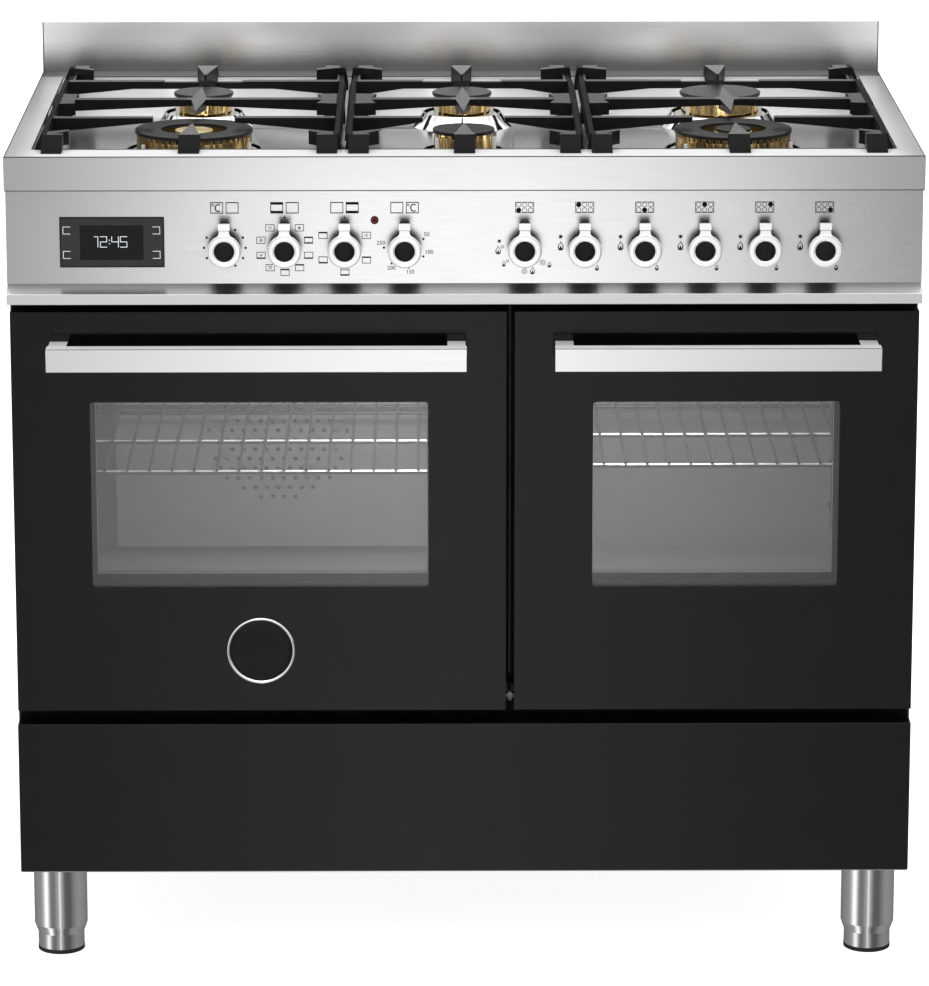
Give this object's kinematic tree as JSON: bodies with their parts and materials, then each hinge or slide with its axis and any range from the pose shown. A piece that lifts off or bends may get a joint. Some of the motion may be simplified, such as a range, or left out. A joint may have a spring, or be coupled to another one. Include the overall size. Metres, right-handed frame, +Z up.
{
  "type": "range cooker",
  "caption": "Free-standing range cooker: gas hob with cast-iron grates, knobs and clock on a steel panel, two drop-door ovens side by side, storage drawer and tubular legs.",
  "frame": {"origin": "centre of the footprint of the whole cooker on the floor, under the middle of its overall width and depth", "axes": "+X to the right seen from the front, +Y to the rear, +Z up"},
  "size_m": [1, 0.642, 0.977],
  "materials": {
    "polished_steel": "polished stainless steel",
    "brushed_steel": "stainless steel brushed along its width",
    "display_glass": "dark glass over a clock display",
    "red_lens": "small red lens",
    "black_enamel": "satin black stove enamel",
    "door_enamel": "glossy black stove enamel",
    "galvanised_steel": "zinc-coated sheet",
    "oven_enamel": "dark grey oven enamel",
    "motor_steel": "plain zinc-plated steel",
    "chromed_wire": "bright chromed wire",
    "element_steel": "oxidised steel sheath",
    "seal_rubber": "black braided seal",
    "burner_brass": "turned brass",
    "cap_enamel": "matt black enamelled cap",
    "cast_aluminium": "cast aluminium",
    "electrode_ceramic": "white glazed ceramic",
    "gas_brass": "brass pipe and taps",
    "switch_plastic": "heat-proof plastic",
    "lamp_glass": "clear lamp glass",
    "foot_steel": "polished foot on a black rubber pad",
    "oven_glass": "tinted oven glass",
    "chrome_bar": "polished chrome",
    "knob_metal": "satin chromed knob with a black centre disc",
    "cast_iron": "matt black cast iron"
  },
  "bodies": {
    "chassis": {"worktop": "polished_steel", "backguard": "brushed_steel", "control_panel": "brushed_steel", "panel_ledge": "polished_steel", "display_unit": "display_glass", "indicator_lens": "red_lens", "side_panels": "black_enamel", "rear_panel": "galvanised_steel", "base_frame": "black_enamel", "front_frame": "black_enamel", "oven_cavity_left": "oven_enamel", "oven_cavity_right": "oven_enamel", "fan_cover": "oven_enamel", "fan_motor": "motor_steel", "oven_racks": "chromed_wire", "heating_elements": "element_steel", "door_seals": "seal_rubber", "burner_crowns": "burner_brass", "burner_caps": "cap_enamel", "burner_bowls": "cast_aluminium", "electrodes": "electrode_ceramic", "gas_manifold": "gas_brass", "oven_switches": "switch_plastic", "oven_lamps": "lamp_glass", "leg_tubes": "polished_steel", "levelling_feet": "foot_steel", "hinge_brackets": "motor_steel", "drawer_runners": "galvanised_steel", "terminal_box": "switch_plastic"},
    "door_left": {"door_left_panel": "door_enamel", "door_left_liner": "black_enamel", "door_left_glazing": "oven_glass", "door_left_handle": "chrome_bar", "badge_disc": "chrome_bar"},
    "door_right": {"door_right_panel": "door_enamel", "door_right_liner": "black_enamel", "door_right_glazing": "oven_glass", "door_right_handle": "chrome_bar"},
    "drawer": {"drawer_front": "door_enamel", "drawer_tray": "black_enamel"},
    "fan": {"fan_wheel": "cast_aluminium"},
    "grate_left": {"grate_left": "cast_iron"},
    "grate_centre": {"grate_centre": "cast_iron"},
    "grate_right": {"grate_right": "cast_iron"},
    "knob_oven_1": {"knob_oven_1": "knob_metal"},
    "knob_oven_2": {"knob_oven_2": "knob_metal"},
    "knob_oven_3": {"knob_oven_3": "knob_metal"},
    "knob_oven_4": {"knob_oven_4": "knob_metal"},
    "spindle_1": {"spindle_1": "motor_steel"},
    "knob_burner_1": {"knob_burner_1": "knob_metal"},
    "spindle_2": {"spindle_2": "motor_steel"},
    "knob_burner_2": {"knob_burner_2": "knob_metal"},
    "spindle_3": {"spindle_3": "motor_steel"},
    "knob_burner_3": {"knob_burner_3": "knob_metal"},
    "spindle_4": {"spindle_4": "motor_steel"},
    "knob_burner_4": {"knob_burner_4": "knob_metal"},
    "spindle_5": {"spindle_5": "motor_steel"},
    "knob_burner_5": {"knob_burner_5": "knob_metal"},
    "spindle_6": {"spindle_6": "motor_steel"},
    "knob_burner_6": {"knob_burner_6": "knob_metal"}
  },
  "joints": [
    {"name": "door_left_hinge", "type": "hinge", "parent": "chassis", "child": "door_left", "pos_m": [-0.226, -0.259, 0.305], "axis": [1, 0, 0], "range_deg": [0, 90]},
    {"name": "door_right_hinge", "type": "hinge", "parent": "chassis", "child": "door_right", "pos_m": [0.276, -0.259, 0.305], "axis": [1, 0, 0], "range_deg": [0, 90]},
    {"name": "drawer_slide", "type": "slide", "parent": "chassis", "child": "drawer", "axis": [0, -1, 0], "range_m": [0, 0.34]},
    {"name": "fan_spin", "type": "hinge", "parent": "chassis", "child": "fan", "pos_m": [-0.218, 0.181, 0.5133], "axis": [0, 1, 0], "continuous": true},
    {"name": "grate_centre_lift", "type": "slide", "parent": "chassis", "child": "grate_centre", "axis": [0, 0, 1], "range_m": [0, 0.12]},
    {"name": "grate_left_lift", "type": "slide", "parent": "chassis", "child": "grate_left", "axis": [0, 0, 1], "range_m": [0, 0.12]},
    {"name": "grate_right_lift", "type": "slide", "parent": "chassis", "child": "grate_right", "axis": [0, 0, 1], "range_m": [0, 0.12]},
    {"name": "knob_oven_1_turn", "type": "hinge", "parent": "chassis", "child": "knob_oven_1", "pos_m": [-0.2616, -0.279, 0.814], "axis": [0, 1, 0], "range_deg": [0, 300]},
    {"name": "knob_oven_2_turn", "type": "hinge", "parent": "chassis", "child": "knob_oven_2", "pos_m": [-0.1962, -0.279, 0.814], "axis": [0, 1, 0], "range_deg": [0, 324]},
    {"name": "knob_oven_3_turn", "type": "hinge", "parent": "chassis", "child": "knob_oven_3", "pos_m": [-0.1308, -0.279, 0.814], "axis": [0, 1, 0], "range_deg": [0, 300]},
    {"name": "knob_oven_4_turn", "type": "hinge", "parent": "chassis", "child": "knob_oven_4", "pos_m": [-0.0654, -0.279, 0.814], "axis": [0, 1, 0], "range_deg": [0, 280]},
    {"name": "knob_burner_1_push", "type": "slide", "parent": "chassis", "child": "spindle_1", "axis": [0, 1, 0], "range_m": [0, 0.005], "stiffness_N_per_m": 800},
    {"name": "knob_burner_1_turn", "type": "hinge", "parent": "spindle_1", "child": "knob_burner_1", "pos_m": [0.0654, -0.279, 0.814], "axis": [0, -1, 0], "range_deg": [0, 236]},
    {"name": "knob_burner_2_push", "type": "slide", "parent": "chassis", "child": "spindle_2", "axis": [0, 1, 0], "range_m": [0, 0.005], "stiffness_N_per_m": 800},
    {"name": "knob_burner_2_turn", "type": "hinge", "parent": "spindle_2", "child": "knob_burner_2", "pos_m": [0.1308, -0.279, 0.814], "axis": [0, -1, 0], "range_deg": [0, 212]},
    {"name": "knob_burner_3_push", "type": "slide", "parent": "chassis", "child": "spindle_3", "axis": [0, 1, 0], "range_m": [0, 0.005], "stiffness_N_per_m": 800},
    {"name": "knob_burner_3_turn", "type": "hinge", "parent": "spindle_3", "child": "knob_burner_3", "pos_m": [0.1962, -0.279, 0.814], "axis": [0, -1, 0], "range_deg": [0, 212]},
    {"name": "knob_burner_4_push", "type": "slide", "parent": "chassis", "child": "spindle_4", "axis": [0, 1, 0], "range_m": [0, 0.005], "stiffness_N_per_m": 800},
    {"name": "knob_burner_4_turn", "type": "hinge", "parent": "spindle_4", "child": "knob_burner_4", "pos_m": [0.2616, -0.279, 0.814], "axis": [0, -1, 0], "range_deg": [0, 212]},
    {"name": "knob_burner_5_push", "type": "slide", "parent": "chassis", "child": "spindle_5", "axis": [0, 1, 0], "range_m": [0, 0.005], "stiffness_N_per_m": 800},
    {"name": "knob_burner_5_turn", "type": "hinge", "parent": "spindle_5", "child": "knob_burner_5", "pos_m": [0.327, -0.279, 0.814], "axis": [0, -1, 0], "range_deg": [0, 212]},
    {"name": "knob_burner_6_push", "type": "slide", "parent": "chassis", "child": "spindle_6", "axis": [0, 1, 0], "range_m": [0, 0.005], "stiffness_N_per_m": 800},
    {"name": "knob_burner_6_turn", "type": "hinge", "parent": "spindle_6", "child": "knob_burner_6", "pos_m": [0.3924, -0.279, 0.814], "axis": [0, -1, 0], "range_deg": [0, 212]}
  ]
}
